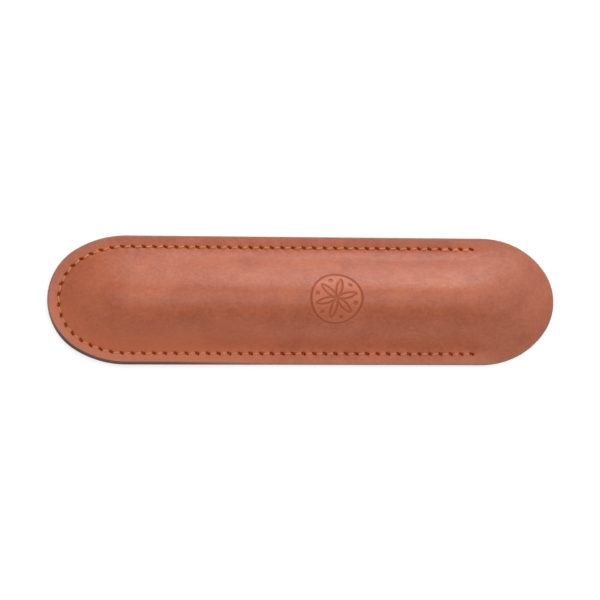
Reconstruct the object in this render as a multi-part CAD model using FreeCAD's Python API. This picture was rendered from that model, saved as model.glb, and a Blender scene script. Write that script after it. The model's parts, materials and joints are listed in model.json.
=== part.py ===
import FreeCAD, Part
import math
import os

# A slim leather sleeve for one pen, lying on its flat back: the mouth is at +X, the moulded front at +Z.
# The origin is at the middle of the back face. All sizes are in millimetres and degrees.

# Outline of both panels, edge coat included
LENGTH = 165.0
WIDTH = 41.6
# How far each tip's radius falls short of half the width, and how far each end is drawn out past a half circle
CLOSED_TIP_TUCK = 1.8
CLOSED_END_DRAW = 4.5
MOUTH_TIP_TUCK = 3.0
MOUTH_END_DRAW = 2.8

# Layers
LEATHER = 1.6
CEMENT = 0.1
EDGE_COAT = 0.2
EDGE_COAT_LIFT = 0.15

# Moulded ridge of the front panel
RIDGE_RISE = 12.8
CROWN_ROUNDING = 10.0
FOOT_CLEARANCE = 1.0
CLOSED_RAMP_DRAW = 8.5
CLOSED_RIDGE_DROP = 1.2
CLOSED_RIDGE_DROP_LENGTH = 58.0
MOUTH_RAMP = 34.0
MOUTH_FOOT_REACH = 1.5
MOUTH_FOOT_OVERHANG = 0.7
MOUTH_WIDENING = 14.0
RAMP_POWER = 2.5
GRID_STEP_X = 5.0
GRID_STEP_Y = 3.0

# Free lips past the seam, which flex at the line where the seam ends
LIP_LENGTH = 24.0
LIP_GAP = 0.3

# Seam
STITCH_INSET = 3.4
STITCH_PITCH = 3.47
STITCH_SLANT = 24.0
SEAM_END_MARGIN = 1.9
THREAD_DIAMETER = 0.65
THREAD_CLEARANCE = 0.05
THREAD_BEND_RATIO = 1.2
FRONT_GROOVE_DEPTH = 0.3
GROOVE_END_MARGIN = 1.0
CEMENT_MARGIN = 1.2

HALF_WIDTH = WIDTH / 2
TIP_X = LENGTH / 2
HINGE_X = TIP_X - LIP_LENGTH
SEAM_END_X = HINGE_X - SEAM_END_MARGIN
FRONT_BOTTOM = LEATHER + CEMENT
FLANGE_TOP = FRONT_BOTTOM + LEATHER
FOOT_HALF_WIDTH = HALF_WIDTH - STITCH_INSET - FOOT_CLEARANCE
CLOSED_FOOT_X = -TIP_X + STITCH_INSET + FOOT_CLEARANCE
CLOSED_RAMP = FOOT_HALF_WIDTH + CLOSED_RAMP_DRAW
MOUTH_FOOT_X = TIP_X + MOUTH_FOOT_REACH
THREAD_RADIUS = THREAD_DIAMETER / 2
LEG_SPACING = THREAD_DIAMETER + 2 * THREAD_CLEARANCE
SLOT_WIDTH = THREAD_DIAMETER + 4 * THREAD_CLEARANCE
SLOT_LENGTH = LEG_SPACING + THREAD_DIAMETER + 2 * THREAD_CLEARANCE
GROOVE_WIDTH = SLOT_WIDTH + 2 * THREAD_CLEARANCE + LEG_SPACING * math.sin(math.radians(STITCH_SLANT))
BACK_GROOVE_DEPTH = THREAD_DIAMETER + 2 * THREAD_CLEARANCE
TALL = 4 * (FLANGE_TOP + RIDGE_RISE)


def vec(x, y, z=0.0):
    return FreeCAD.Vector(x, y, z)


def end_arcs(side, inset):
    """Shoulder, tip and shoulder arcs of one rounded end, from the upper side to the lower one."""
    tuck = MOUTH_TIP_TUCK if side > 0 else CLOSED_TIP_TUCK
    draw = MOUTH_END_DRAW if side > 0 else CLOSED_END_DRAW
    tip_radius = HALF_WIDTH - tuck
    reach = HALF_WIDTH + draw
    run = reach - tip_radius
    shoulder_radius = (run ** 2 + HALF_WIDTH ** 2 - tip_radius ** 2) / (2 * tuck)
    shoulder_drop = shoulder_radius - HALF_WIDTH
    join = math.atan2(shoulder_drop, run)
    middle = (math.pi / 2 + join) / 2

    def on_tip(angle):
        radius = tip_radius - inset
        return vec(side * (TIP_X - tip_radius + radius * math.cos(angle)), radius * math.sin(angle))

    def on_shoulder(angle):
        radius = shoulder_radius - inset
        return vec(side * (TIP_X - reach + radius * math.cos(angle)), radius * math.sin(angle) - shoulder_drop)

    upper = [on_shoulder(math.pi / 2), on_shoulder(middle), on_tip(join)]
    lower = [vec(p.x, -p.y) for p in reversed(upper)]
    return [Part.Arc(*upper), Part.Arc(upper[2], on_tip(0.0), lower[0]), Part.Arc(*lower)]


def outline_face(inset):
    """Flat face of the panel outline, moved inwards by the inset."""
    closed = end_arcs(-1, inset)
    mouth = end_arcs(1, inset)
    top = Part.LineSegment(mouth[0].StartPoint, closed[0].StartPoint)
    bottom = Part.LineSegment(closed[2].EndPoint, mouth[2].EndPoint)
    curves = [top] + closed + [bottom] + mouth
    return Part.Face(Part.Wire(Part.__sortEdges__([curve.toShape() for curve in curves])))


def outline_prism(inset, low, high):
    """Panel outline, moved inwards by the inset, from one height to another."""
    face = outline_face(inset)
    face.translate(vec(0, 0, low))
    return face.extrude(vec(0, 0, high - low))


def outline_ring(outer_inset, inner_inset, low, high):
    """Band that follows the panel outline between two insets."""
    return outline_prism(outer_inset, low, high).cut(outline_prism(inner_inset, low, high))


def behind(x):
    """Space on the closed side of a cross plane."""
    return Part.makeBox(2 * LENGTH, 2 * WIDTH, 2 * TALL, vec(x - 2 * LENGTH, -WIDTH, -TALL))


def sewn_part(shape):
    """What lies on the closed side of the flex line."""
    return shape.common(behind(HINGE_X - LIP_GAP / 2))


def lip_part(shape):
    """What lies on the mouth side of the flex line."""
    return shape.cut(behind(HINGE_X + LIP_GAP / 2))


def smooth_step(value):
    """Even ramp from 0 to 1."""
    t = min(1.0, max(0.0, value))
    return t * t * (3 - 2 * t)


def ridge_height(x, y):
    """Height of the moulded front above its flat rim: a rounded ridge that runs out at both ends."""
    widen = smooth_step((x - SEAM_END_X) / MOUTH_WIDENING)
    half_width = FOOT_HALF_WIDTH + widen * (HALF_WIDTH + MOUTH_FOOT_OVERHANG - FOOT_HALF_WIDTH)
    from_closed = max(0.0, (CLOSED_FOOT_X + CLOSED_RAMP - x) / CLOSED_RAMP)
    from_mouth = max(0.0, (x - MOUTH_FOOT_X + MOUTH_RAMP) / MOUTH_RAMP)
    drop = smooth_step((CLOSED_FOOT_X + CLOSED_RIDGE_DROP_LENGTH - x) / CLOSED_RIDGE_DROP_LENGTH)
    rise = RIDGE_RISE - CLOSED_RIDGE_DROP * drop
    q = (y / half_width) ** 2 + from_closed ** RAMP_POWER + from_mouth ** RAMP_POWER
    spread = rise ** 2 + 2 * rise * CROWN_ROUNDING
    return rise + CROWN_ROUNDING - math.sqrt(spread * q + CROWN_ROUNDING ** 2)


def outer_height(x, y):
    """Outer face of the moulded front."""
    return FLANGE_TOP + ridge_height(x, y)


def inner_height(x, y):
    """Inner face of the moulded front, one leather thickness inside the outer one."""
    step = LEATHER / 20
    slope_x = (ridge_height(x + step, y) - ridge_height(x - step, y)) / (2 * step)
    slope_y = (ridge_height(x, y + step) - ridge_height(x, y - step)) / (2 * step)
    return outer_height(x, y) - LEATHER * math.sqrt(1 + slope_x ** 2 + slope_y ** 2)


def space_under(height):
    """Everything below a height map that spans the whole outline."""
    count_x = 2 * math.ceil((TIP_X + GRID_STEP_X) / GRID_STEP_X) + 1
    count_y = 2 * math.ceil((HALF_WIDTH + GRID_STEP_Y) / GRID_STEP_Y) + 1
    first_x = -GRID_STEP_X * (count_x - 1) / 2
    first_y = -GRID_STEP_Y * (count_y - 1) / 2
    rows = []
    for i in range(count_x):
        x = first_x + i * GRID_STEP_X
        ys = [first_y + j * GRID_STEP_Y for j in range(count_y)]
        rows.append([vec(x, y, height(x, y)) for y in ys])
    surface = Part.BSplineSurface()
    surface.interpolate(rows)
    return surface.toShape().extrude(vec(0, 0, -TALL))


def seam_curves():
    """The stitch line: from the upper end of the seam, round the closed end, to the lower end."""
    closed = end_arcs(-1, STITCH_INSET)
    row = HALF_WIDTH - STITCH_INSET
    top = Part.LineSegment(vec(SEAM_END_X, row), closed[0].StartPoint)
    bottom = Part.LineSegment(closed[2].EndPoint, vec(SEAM_END_X, -row))
    return [curve.toShape() for curve in [top] + closed + [bottom]]


def stitch_places():
    """Middle of each awl hole, with the direction of its slot."""
    edges = seam_curves()
    total = sum(edge.Length for edge in edges)
    count = max(2, round(total / STITCH_PITCH))
    places = []
    for i in range(count + 1):
        left = total * i / count
        edge = edges[0]
        for edge in edges:
            if left <= edge.Length or edge is edges[-1]:
                break
            left -= edge.Length
        along = edge.getParameterByLength(min(left, edge.Length))
        tangent = edge.tangentAt(along)
        turn = math.atan2(tangent.y, tangent.x) - math.radians(STITCH_SLANT)
        places.append((edge.valueAt(along), vec(math.cos(turn), math.sin(turn))))
    return places


def awl_holes(places):
    """Slanted slots through both panels."""
    straight = (SLOT_LENGTH - SLOT_WIDTH) / 2
    slots = []
    for middle, along in places:
        across = vec(-along.y, along.x) * (SLOT_WIDTH / 2)
        start = middle - along * straight
        end = middle + along * straight
        cap = along * (SLOT_WIDTH / 2)
        curves = [
            Part.LineSegment(start - across, end - across),
            Part.Arc(end - across, end + cap, end + across),
            Part.LineSegment(end + across, start + across),
            Part.Arc(start + across, start - cap, start - across),
        ]
        face = Part.Face(Part.Wire([curve.toShape() for curve in curves]))
        face.translate(vec(0, 0, -LEATHER))
        slots.append(face.extrude(vec(0, 0, FLANGE_TOP + 2 * LEATHER)))
    return Part.makeCompound(slots)


def stitch_groove(low, high):
    """Shallow channel that the thread lies in."""
    ring = outline_ring(STITCH_INSET - GROOVE_WIDTH / 2, STITCH_INSET + GROOVE_WIDTH / 2, low, high)
    return ring.common(behind(SEAM_END_X + GROOVE_END_MARGIN))


def lock_thread(places, run_z, lock_z):
    """One unbroken thread of a lock stitch: a run on the face, and a loop into every hole up to the lock plane."""
    side = 1 if run_z > lock_z else -1
    bend = THREAD_RADIUS * THREAD_BEND_RATIO
    bend_z = run_z - side * bend
    turn_z = lock_z + side * (THREAD_CLEARANCE + THREAD_RADIUS + LEG_SPACING / 2)
    half_turn = math.sin(math.pi / 4)
    curves = []
    for (middle, along), (next_middle, next_along) in zip(places[:-1], places[1:]):
        leave = middle + along * (LEG_SPACING / 2)
        enter = next_middle - next_along * (LEG_SPACING / 2)
        run = (enter - leave).normalize()
        up = vec(0, 0, 1)
        first_centre = leave + run * bend + up * bend_z
        last_centre = enter - run * bend + up * bend_z
        rise = up * (side * bend)
        curves.append(Part.LineSegment(leave + up * turn_z, leave + up * bend_z))
        curves.append(Part.Arc(
            leave + up * bend_z, first_centre + (rise - run * bend) * half_turn, first_centre + rise))
        curves.append(Part.LineSegment(first_centre + rise, last_centre + rise))
        curves.append(Part.Arc(
            last_centre + rise, last_centre + (rise + run * bend) * half_turn, enter + up * bend_z))
        curves.append(Part.LineSegment(enter + up * bend_z, enter + up * turn_z))
        if next_middle is not places[-1][0]:
            lock = next_middle + up * (turn_z - side * LEG_SPACING / 2)
            next_leave = next_middle + next_along * (LEG_SPACING / 2)
            curves.append(Part.Arc(enter + up * turn_z, lock, next_leave + up * turn_z))
    path = Part.Wire([curve.toShape() for curve in curves])
    start = places[0][0] + places[0][1] * (LEG_SPACING / 2) + vec(0, 0, turn_z)
    section = Part.Wire(Part.makeCircle(THREAD_RADIUS, start, vec(0, 0, side)))
    return path.makePipeShell([section], True, False)


def ridge_solid(outer_inset):
    """Filled ridge that stands on the flat rim."""
    return outline_prism(outer_inset, FLANGE_TOP, TALL).common(space_under(outer_height))


def pen_space():
    """Hollow under the ridge, open at the mouth."""
    return outline_prism(-EDGE_COAT, FRONT_BOTTOM, TALL).common(space_under(inner_height))


def front_leather(places):
    """Moulded front, whole: a flat rim with the groove and the holes, and a hollow ridge."""
    rim = outline_prism(EDGE_COAT, FRONT_BOTTOM, FLANGE_TOP)
    rim = rim.cut(stitch_groove(FLANGE_TOP - FRONT_GROOVE_DEPTH, FLANGE_TOP + LEATHER))
    rim = rim.cut(awl_holes(places))
    return rim.fuse(ridge_solid(EDGE_COAT)).cut(pen_space())


def back_leather(places):
    """Flat back, whole: a plate with the groove and the holes."""
    back = outline_prism(EDGE_COAT, 0.0, LEATHER)
    back = back.cut(stitch_groove(-LEATHER, BACK_GROOVE_DEPTH))
    return back.cut(awl_holes(places))


def cement_film(places):
    """Film between the two rims under the seam."""
    film = outline_ring(EDGE_COAT, STITCH_INSET + CEMENT_MARGIN, LEATHER, FRONT_BOTTOM)
    return sewn_part(film).cut(awl_holes(places))


def front_rim_coat():
    """Edge coat on the front leather alone, which follows the lip's arched edge."""
    rim = outline_ring(0.0, EDGE_COAT, FRONT_BOTTOM, FLANGE_TOP)
    ridge = ridge_solid(0.0).cut(outline_prism(EDGE_COAT, FRONT_BOTTOM, TALL))
    return rim.fuse(ridge).cut(pen_space())


def build():
    """All pieces by name."""
    places = stitch_places()
    front = front_leather(places)
    back = back_leather(places)
    front_run = FLANGE_TOP - FRONT_GROOVE_DEPTH + THREAD_RADIUS + THREAD_CLEARANCE / 2
    back_run = BACK_GROOVE_DEPTH - THREAD_RADIUS - THREAD_CLEARANCE / 2
    lock = (front_run + back_run) / 2
    return {
        "front_panel": sewn_part(front),
        "front_lip": lip_part(front),
        "back_panel": sewn_part(back),
        "back_lip": lip_part(back),
        "needle_thread": lock_thread(places, front_run, lock),
        "bobbin_thread": lock_thread(places, back_run, lock),
        "seam_cement": cement_film(places),
        "seam_edge_coat": sewn_part(outline_ring(0.0, EDGE_COAT, EDGE_COAT_LIFT, FLANGE_TOP)),
        "front_lip_edge_coat": lip_part(front_rim_coat()),
        "back_lip_edge_coat": lip_part(outline_ring(0.0, EDGE_COAT, EDGE_COAT_LIFT, LEATHER)),
    }


os.makedirs("parts", exist_ok=True)
for name, shape in build().items():
    box = shape.BoundBox
    print(f"{name}: {len(shape.Solids)} solid, valid {shape.isValid()}, {shape.Volume:.1f} mm3,"
          f" x {box.XMin:.2f} to {box.XMax:.2f}, y {box.YMin:.2f} to {box.YMax:.2f},"
          f" z {box.ZMin:.2f} to {box.ZMax:.2f}")
    shape.exportStep(f"parts/{name}.step")
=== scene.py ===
"""Looks of a moulded leather sleeve for one pen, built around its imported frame."""
import json
import logging
import math
from dataclasses import dataclass
from enum import Enum
from typing import Callable, Sequence

import bpy
import numpy as np
from mathutils import Matrix, Vector
from mathutils.geometry import delaunay_2d_cdt


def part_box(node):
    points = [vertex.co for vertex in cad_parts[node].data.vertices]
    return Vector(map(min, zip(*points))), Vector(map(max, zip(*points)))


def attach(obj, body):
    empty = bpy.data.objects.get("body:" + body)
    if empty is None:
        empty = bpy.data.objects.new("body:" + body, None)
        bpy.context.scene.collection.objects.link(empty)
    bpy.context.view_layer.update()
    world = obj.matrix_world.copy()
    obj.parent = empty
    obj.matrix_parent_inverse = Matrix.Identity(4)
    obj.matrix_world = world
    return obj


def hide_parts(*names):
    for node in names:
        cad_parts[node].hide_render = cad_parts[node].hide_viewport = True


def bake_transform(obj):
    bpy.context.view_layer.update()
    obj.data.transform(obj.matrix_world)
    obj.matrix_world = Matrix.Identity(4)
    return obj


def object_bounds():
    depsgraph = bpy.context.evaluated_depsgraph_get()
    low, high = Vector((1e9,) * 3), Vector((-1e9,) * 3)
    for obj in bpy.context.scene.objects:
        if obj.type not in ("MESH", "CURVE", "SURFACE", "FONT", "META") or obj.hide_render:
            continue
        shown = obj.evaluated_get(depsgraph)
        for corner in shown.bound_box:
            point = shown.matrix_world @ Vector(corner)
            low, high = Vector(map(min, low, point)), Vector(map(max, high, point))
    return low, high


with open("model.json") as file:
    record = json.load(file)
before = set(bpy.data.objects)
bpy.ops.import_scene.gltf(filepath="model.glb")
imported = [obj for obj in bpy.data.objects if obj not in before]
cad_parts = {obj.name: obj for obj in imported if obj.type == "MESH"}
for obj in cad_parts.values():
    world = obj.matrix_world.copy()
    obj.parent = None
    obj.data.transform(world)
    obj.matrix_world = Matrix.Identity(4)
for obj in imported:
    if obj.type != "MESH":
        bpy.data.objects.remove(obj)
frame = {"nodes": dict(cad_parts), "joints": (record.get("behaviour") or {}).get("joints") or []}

LOG = logging.getLogger("pen_case")
MM = 0.001
IMAGE_WIDTH_PX = 600
CAD_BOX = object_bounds()

# Distances in millimetres: seam end to hinge line, last hole to seam end, ridge foot to stitch line
SEAM_BEFORE_HINGE = 1.9
HOLE_BEFORE_SEAM_END = 1.2
FOOT_INSIDE_SEAM = 2.25

# Fewest steps along an arc and along a straight side
LEAST_ARC_STEPS = 4
LEAST_SIDE_STEPS = 2

# How the flat points are joined: only inside the outline, and as one point where they are this close
INSIDE_ONLY = 1
MERGE_DISTANCE = 1e-5

# Part of a noise's numbers that carries its pattern
NOISE_SPAN = (0.3, 0.7)

Colour = tuple[float, float, float]
Span = tuple[float, float]
Profile = tuple[tuple[float, float], ...]
Socket = bpy.types.NodeSocket

# A number at places along and across the case
HeightMap = Callable[[np.ndarray, np.ndarray], np.ndarray]

# A number along an edge, from its points and the way out at each
EdgeMap = Callable[[np.ndarray, np.ndarray], np.ndarray]


class End(Enum):
    """The two rounded ends of the case, by their direction along its length."""

    CLOSED = -1
    MOUTH = 1


class Grain(Enum):
    """Which way the smooth side of a leather sheet faces."""

    UP = 1
    DOWN = -1


def smooth_step(value: np.ndarray) -> np.ndarray:
    """Even ramp from 0 to 1.

    Args:
        value: Any numbers; what lies outside 0 to 1 is held there.

    Returns:
        The eased numbers.
    """
    t = np.clip(value, 0.0, 1.0)
    return t * t * (3.0 - 2.0 * t)


def linear_colour(red: float, green: float, blue: float) -> tuple[float, float, float, float]:
    """Turn a display colour of 0 to 255 into the linear colour that a shader takes.

    Args:
        red: Red from 0 to 255.
        green: Green from 0 to 255.
        blue: Blue from 0 to 255.

    Returns:
        Linear red, green and blue, with full alpha.
    """
    parts = []
    for part in (red, green, blue):
        shown = part / 255.0
        # Standard curve of display colours
        parts.append(shown / 12.92 if shown <= 0.04045 else ((shown + 0.055) / 1.055) ** 2.4)
    return (parts[0], parts[1], parts[2], 1.0)


def triangle_grid(half_length: float, half_width: float, step: float) -> np.ndarray:
    """Even points on a triangular grid over a rectangle round the origin.

    Args:
        half_length: Half the rectangle's length.
        half_width: Half the rectangle's width.
        step: Distance between points.

    Returns:
        The points, row by row.
    """
    rows = np.arange(-half_width, half_width, step * math.sqrt(0.75))
    points = []
    for i, row in enumerate(rows):
        xs = np.arange(-half_length, half_length, step) + (step / 2.0 if i % 2 else 0.0)
        points.append(np.column_stack([xs, np.full_like(xs, row)]))
    return np.concatenate(points)


@dataclass(frozen=True)
class EndArcs:
    """Tip and shoulder arcs of one rounded end, in millimetres."""

    tip_radius: float
    reach: float
    shoulder_radius: float
    shoulder_drop: float
    join: float

    @classmethod
    def from_sizes(cls, half_width: float, tuck: float, draw: float) -> "EndArcs":
        """Work out the arcs from how far the tip is tucked in and the end drawn out.

        Args:
            half_width: Half the width of the case.
            tuck: How far the tip's radius falls short of half the width.
            draw: How far the end is drawn out past a half circle.

        Returns:
            The arcs, tangent to each other and to the straight sides.
        """
        tip_radius = half_width - tuck
        reach = half_width + draw
        run = reach - tip_radius
        shoulder = (run ** 2 + half_width ** 2 - tip_radius ** 2) / (2.0 * tuck)
        drop = shoulder - half_width
        return cls(tip_radius, reach, shoulder, drop, math.atan2(drop, run))


@dataclass(frozen=True)
class Outline:
    """Flat outline of the case: straight sides between two rounded ends, in millimetres."""

    length: float
    width: float
    hinge_x: float
    closed_tuck: float = 1.8
    closed_draw: float = 4.5
    mouth_tuck: float = 3.0
    mouth_draw: float = 2.8

    def arcs(self, end: End) -> EndArcs:
        """Arcs of one end.

        Args:
            end: Which end.

        Returns:
            Its tip and shoulder arcs.
        """
        if end is End.MOUTH:
            return EndArcs.from_sizes(self.width / 2, self.mouth_tuck, self.mouth_draw)
        return EndArcs.from_sizes(self.width / 2, self.closed_tuck, self.closed_draw)

    def inset_at(self, x: np.ndarray, y: np.ndarray) -> np.ndarray:
        """How far inside the outline each point lies.

        Args:
            x: Places along the case.
            y: Places across the case.

        Returns:
            Distance to the nearest edge, positive inside.
        """
        result = np.empty_like(x)
        across = np.abs(y)
        for end in End:
            arcs = self.arcs(end)
            mine = (x * end.value) >= 0.0
            along = np.abs(x) - (self.length / 2 - arcs.reach)
            turn = np.arctan2(across + arcs.shoulder_drop, along)
            shoulder = arcs.shoulder_radius - np.hypot(along, across + arcs.shoulder_drop)
            tip = arcs.tip_radius - np.hypot(np.abs(x) - self.length / 2 + arcs.tip_radius, across)
            rounded = np.where(turn > arcs.join, shoulder, tip)
            value = np.where(along <= 0.0, self.width / 2 - across, rounded)
            result = np.where(mine, value, result)
        return result

    def _end_points(self, end: End, inset: float, step: float) -> np.ndarray:
        """Points round one end from the upper side to the lower side, ends included.

        Args:
            end: Which end.
            inset: How far inside the outline the points lie.
            step: Distance between points on the outline itself.

        Returns:
            The points, as many for every inset.
        """
        arcs = self.arcs(end)
        shoulder_length = arcs.shoulder_radius * (math.pi / 2 - arcs.join)
        shoulder_count = max(LEAST_ARC_STEPS, round(shoulder_length / step))
        tip_count = max(LEAST_ARC_STEPS, round(arcs.tip_radius * 2 * arcs.join / step))
        upper = np.linspace(math.pi / 2, arcs.join, shoulder_count + 1)[:-1]
        tip = np.linspace(arcs.join, -arcs.join, tip_count + 1)
        radius = arcs.shoulder_radius - inset
        upper_x = self.length / 2 - arcs.reach + radius * np.cos(upper)
        upper_y = radius * np.sin(upper) - arcs.shoulder_drop
        radius = arcs.tip_radius - inset
        tip_x = self.length / 2 - arcs.tip_radius + radius * np.cos(tip)
        tip_y = radius * np.sin(tip)
        xs = np.concatenate([upper_x, tip_x, upper_x[::-1]])
        ys = np.concatenate([upper_y, tip_y, -upper_y[::-1]])
        return np.column_stack([xs * end.value, ys])

    def sewn_path(self, inset: float, step: float) -> np.ndarray:
        """Edge from the hinge line round the closed end and back to the hinge line.

        Args:
            inset: How far inside the outline the path runs.
            step: Distance between points.

        Returns:
            Points of the path, as many for every inset.
        """
        ends = self._end_points(End.CLOSED, inset, step)
        count = max(LEAST_SIDE_STEPS, round((self.hinge_x - ends[0, 0]) / step))
        xs = np.linspace(self.hinge_x, ends[0, 0], count + 1)[:-1]
        row = self.width / 2 - inset
        top = np.column_stack([xs, np.full_like(xs, row)])
        bottom = np.column_stack([xs[::-1], np.full_like(xs, -row)])
        return np.concatenate([top, ends, bottom])

    def lip_path(self, inset: float, step: float) -> np.ndarray:
        """Edge from the lower hinge point round the mouth to the upper one.

        Args:
            inset: How far inside the outline the path runs.
            step: Distance between points.

        Returns:
            Points of the path, as many for every inset.
        """
        ends = self._end_points(End.MOUTH, inset, step)[::-1]
        row = self.width / 2 - inset
        first = np.array([[self.hinge_x, -row]])
        last = np.array([[self.hinge_x, row]])
        return np.concatenate([first, ends, last])

    def loop(self, inset: float, step: float) -> np.ndarray:
        """Whole closed outline without its repeated last point."""
        return np.concatenate([self.sewn_path(inset, step), self.lip_path(inset, step)[1:-1]])

    def grid(self, step: float, least_inset: float) -> np.ndarray:
        """Even points on a triangular grid well inside the outline.

        Args:
            step: Distance between points.
            least_inset: How far inside the outline the outermost points lie.

        Returns:
            The points, row by row.
        """
        points = triangle_grid(self.length / 2, self.width / 2, step)
        return points[self.inset_at(points[:, 0], points[:, 1]) > least_inset]


@dataclass(frozen=True)
class Ridge:
    """Moulded ridge of the front leather: a rounded crest that runs out at both ends, in millimetres."""

    outline: Outline
    foot_inset: float
    seam_end_x: float
    rise: float
    crown: float = 10.0
    closed_ramp_draw: float = 6.2
    closed_drop: float = 1.2
    closed_drop_length: float = 58.0
    mouth_ramp: float = 36.0
    mouth_reach: float = 1.5
    mouth_overhang: float = 0.7
    widening: float = 22.0
    widen_lead: float = 5.0
    ramp_power: float = 2.5
    foot_blend: float = 3.4
    closed_foot_blend: float = 6.4
    closed_blend_x: float = -22.0
    closed_blend_length: float = 40.0

    def toward_closed(self, x: np.ndarray) -> np.ndarray:
        """How near the closed end each place lies, from 0 to 1."""
        return smooth_step((self.closed_blend_x - x) / self.closed_blend_length)

    def height(self, x: np.ndarray, y: np.ndarray) -> np.ndarray:
        """Height above the flat rim, with a soft foot.

        Args:
            x: Places along the case.
            y: Places across the case.

        Returns:
            Heights that fade to nothing on the rim.
        """
        half = self.outline.width / 2
        foot_half = half - self.foot_inset
        foot_x = -self.outline.length / 2 + self.foot_inset
        ramp = foot_half + self.closed_ramp_draw
        widen = smooth_step((x - self.seam_end_x + self.widen_lead) / self.widening)
        half_width = foot_half + widen * (half + self.mouth_overhang - foot_half)
        from_closed = np.maximum(0.0, (foot_x + ramp - x) / ramp)
        mouth_x = self.outline.length / 2 + self.mouth_reach
        from_mouth = np.maximum(0.0, (x - mouth_x + self.mouth_ramp) / self.mouth_ramp)
        drop = smooth_step((foot_x + self.closed_drop_length - x) / self.closed_drop_length)
        rise = self.rise - self.closed_drop * drop
        q = (y / half_width) ** 2 + from_closed ** self.ramp_power + from_mouth ** self.ramp_power
        spread = rise ** 2 + 2.0 * rise * self.crown
        sharp = rise + self.crown - np.sqrt(spread * q + self.crown ** 2)
        blend = self.foot_blend + (self.closed_foot_blend - self.foot_blend) * self.toward_closed(x)
        near = np.maximum(0.0, 1.0 - np.abs(sharp) / blend)
        return np.maximum(0.0, sharp) + near ** 2 * blend / 4.0


@dataclass(frozen=True)
class Seam:
    """Row of slanted awl holes along the sides and round the closed end, in millimetres.

    The rim of a hole begins outside it and runs inwards; both are shares of the rim's softness.
    Rings of points lie at some distances from a hole's rim, with fewer points in the innermost rings. A point
    that lies sideways of a hole, within a small share of the radius, stays beside the hole's middle.
    """

    outline: Outline
    end_x: float
    inset: float = 3.62
    pitch: float = 3.44
    slant_deg: float = 19.0
    slot_length: float = 1.55
    slot_width: float = 0.78
    hole_depth: float = 1.05
    rim_softness: float = 0.22
    rim_lead: float = 0.5
    rim_run: float = 1.5
    path_step: float = 0.05
    ring_offsets: tuple[float, ...] = (0.42, 0.2, 0.06, -0.1, -0.24)
    ring_points: int = 16
    inner_ring_points: int = 10
    inner_ring_offset: float = -0.2
    sideways: float = 0.05

    @property
    def straight_half(self) -> float:
        """Half the length of a slot's straight sides."""
        return (self.slot_length - self.slot_width) / 2.0

    def holes(self) -> tuple[np.ndarray, np.ndarray, np.ndarray]:
        """Where the awl went through.

        Returns:
            Hole middles, the direction of travel at each, and the direction of each slot.
        """
        fine = self.path_step
        path = self.outline.sewn_path(self.inset, fine)
        path = path[path[:, 0] <= self.end_x]
        row = self.outline.width / 2 - self.inset
        path = np.concatenate([[[self.end_x, row]], path, [[self.end_x, -row]]])
        steps = np.hypot(*np.diff(path, axis=0).T)
        travelled = np.concatenate([[0.0], np.cumsum(steps)])
        count = round(travelled[-1] / self.pitch)
        at = np.linspace(0.0, travelled[-1], count + 1)
        middles, ahead, behind = (
            np.column_stack([np.interp(at + shift, travelled, path[:, i]) for i in range(2)])
            for shift in (0.0, fine, -fine)
        )
        travel = ahead - behind
        travel /= np.hypot(*travel.T)[:, None]
        turn = np.arctan2(travel[:, 1], travel[:, 0]) - math.radians(self.slant_deg)
        return middles, travel, np.column_stack([np.cos(turn), np.sin(turn)])

    def slot_distance(self, x: np.ndarray, y: np.ndarray) -> np.ndarray:
        """Distance from each point to the nearest slot's rim.

        Args:
            x: Places along the case.
            y: Places across the case.

        Returns:
            The distances, negative inside a slot.
        """
        middles, _, along = self.holes()
        straight = self.straight_half
        nearest = np.full(x.shape, np.inf)
        for middle, way in zip(middles, along):
            dx = x - middle[0]
            dy = y - middle[1]
            t = np.clip(dx * way[0] + dy * way[1], -straight, straight)
            gap = np.hypot(dx - t * way[0], dy - t * way[1]) - self.slot_width / 2.0
            nearest = np.minimum(nearest, gap)
        return nearest

    def depth_share(self, x: np.ndarray, y: np.ndarray) -> np.ndarray:
        """How far down a hole each point lies.

        Args:
            x: Places along the case.
            y: Places across the case.

        Returns:
            From 0 on the face to 1 at the bottom of a hole.
        """
        gap = self.slot_distance(x, y)
        return smooth_step((self.rim_softness * self.rim_lead - gap) / (self.rim_softness * self.rim_run))

    def slot_points(self) -> np.ndarray:
        """Rings of points round and inside every slot, so that the mesh follows its rim.

        Returns:
            The points, slot by slot.
        """
        middles, _, along = self.holes()
        points = []
        for offset in self.ring_offsets:
            radius = self.slot_width / 2.0 + offset
            count = self.ring_points if offset > self.inner_ring_offset else self.inner_ring_points
            for turn in np.arange(count) * (2.0 * math.pi / count):
                lengthwise = math.cos(turn)
                beside = abs(lengthwise) <= self.sideways
                cap = 0.0 if beside else math.copysign(self.straight_half, lengthwise)
                points.append((cap + radius * lengthwise, radius * math.sin(turn)))
        local = np.array(points)
        rings = []
        for middle, way in zip(middles, along):
            side = np.array([-way[1], way[0]])
            rings.append(middle + local[:, :1] * way + local[:, 1:] * side)
        return np.concatenate(rings)

    def row_points(self, offsets: Sequence[float], step: float, clear: float) -> np.ndarray:
        """Rows of points beside the seam, leaving the slots free.

        Args:
            offsets: How far from the stitch line each row runs.
            step: Distance between points in a row.
            clear: Least distance to a slot's rim.

        Returns:
            Points of all rows.
        """
        rows = [self.outline.sewn_path(self.inset + offset, step) for offset in offsets]
        points = np.concatenate(rows)
        points = points[points[:, 0] < self.outline.hinge_x - step / 2]
        return points[self.slot_distance(points[:, 0], points[:, 1]) > clear]


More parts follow.
